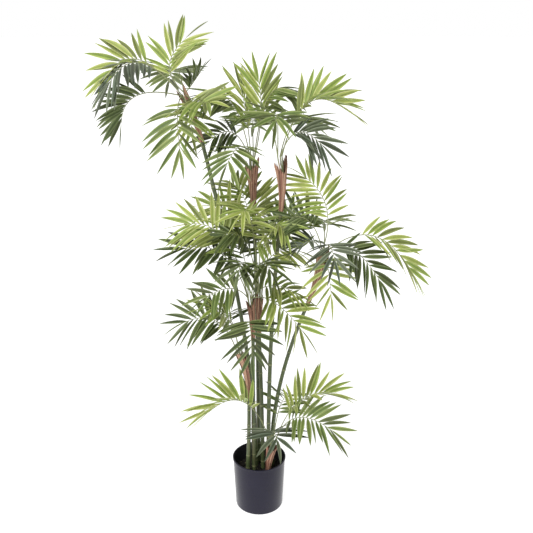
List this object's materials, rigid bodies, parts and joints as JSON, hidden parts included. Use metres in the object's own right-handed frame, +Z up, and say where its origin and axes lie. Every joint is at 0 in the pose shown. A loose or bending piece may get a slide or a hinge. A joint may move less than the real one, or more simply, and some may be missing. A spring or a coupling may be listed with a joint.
{
  "type": "artificial parlor palm",
  "caption": "Artificial parlor palm: feathery green fronds in tiers on slender canes with brown fibre sheaths, standing in a plain round charcoal pot.",
  "frame": {"origin": "middle of the pot's flat underside, where the plant stands on the floor", "axes": "+Z up; -Y is the front that faced the camera; +X is the plant's right as seen from the front"},
  "size_m": [1.2007, 0.6404, 1.8005],
  "materials": {
    "pot": "satin",
    "pot_fill": "rough",
    "cane": "satin",
    "sheath": "fibrous",
    "frond_lime": "satin",
    "frond_mid": "satin",
    "frond_dark": "satin",
    "frond_blue": "satin"
  },
  "bodies": {
    "root": {"cane_inner": "cane", "cane_low_left": "cane", "cane_middle": "cane", "cane_side_right": "cane", "cane_tall_left": "cane", "cane_tall_middle": "cane", "cane_tall_right": "cane", "frond_inner_1": "frond_mid", "frond_inner_2": "frond_dark", "frond_inner_3": "frond_lime", "frond_inner_4": "frond_lime", "frond_inner_5": "frond_lime", "frond_inner_6": "frond_lime", "frond_low_left_1": "frond_dark", "frond_low_left_2": "frond_dark", "frond_low_left_3": "frond_lime", "frond_low_left_4": "frond_dark", "frond_middle_1": "frond_lime", "frond_middle_2": "frond_lime", "frond_middle_3": "frond_mid", "frond_middle_4": "frond_lime", "frond_middle_5": "frond_dark", "frond_pot_level_1": "frond_lime", "frond_pot_level_2": "frond_mid", "frond_pot_level_3": "frond_lime", "frond_pot_level_4": "frond_blue", "frond_pot_level_5": "frond_mid", "frond_side_right_1": "frond_lime", "frond_side_right_2": "frond_mid", "frond_side_right_3": "frond_lime", "frond_side_right_4": "frond_dark", "frond_side_right_5": "frond_blue", "frond_side_right_6": "frond_blue", "frond_tall_left_1": "frond_lime", "frond_tall_left_2": "frond_dark", "frond_tall_left_3": "frond_lime", "frond_tall_left_4": "frond_mid", "frond_tall_left_5": "frond_lime", "frond_tall_left_6": "frond_blue", "frond_tall_middle_1": "frond_mid", "frond_tall_middle_2": "frond_lime", "frond_tall_middle_3": "frond_mid", "frond_tall_middle_4": "frond_lime", "frond_tall_middle_5": "frond_dark", "frond_tall_middle_6": "frond_mid", "frond_tall_right_1": "frond_lime", "frond_tall_right_2": "frond_mid", "frond_tall_right_3": "frond_mid", "frond_tall_right_4": "frond_mid", "frond_tall_right_5": "frond_blue", "pot": "pot", "pot_fill": "pot_fill", "sheath_inner": "sheath", "sheath_low_left": "sheath", "sheath_middle": "sheath", "sheath_pot_level": "sheath", "sheath_side_right": "sheath", "sheath_tall_left": "sheath", "sheath_tall_middle": "sheath", "sheath_tall_right": "sheath"}
  },
  "joints": []
}
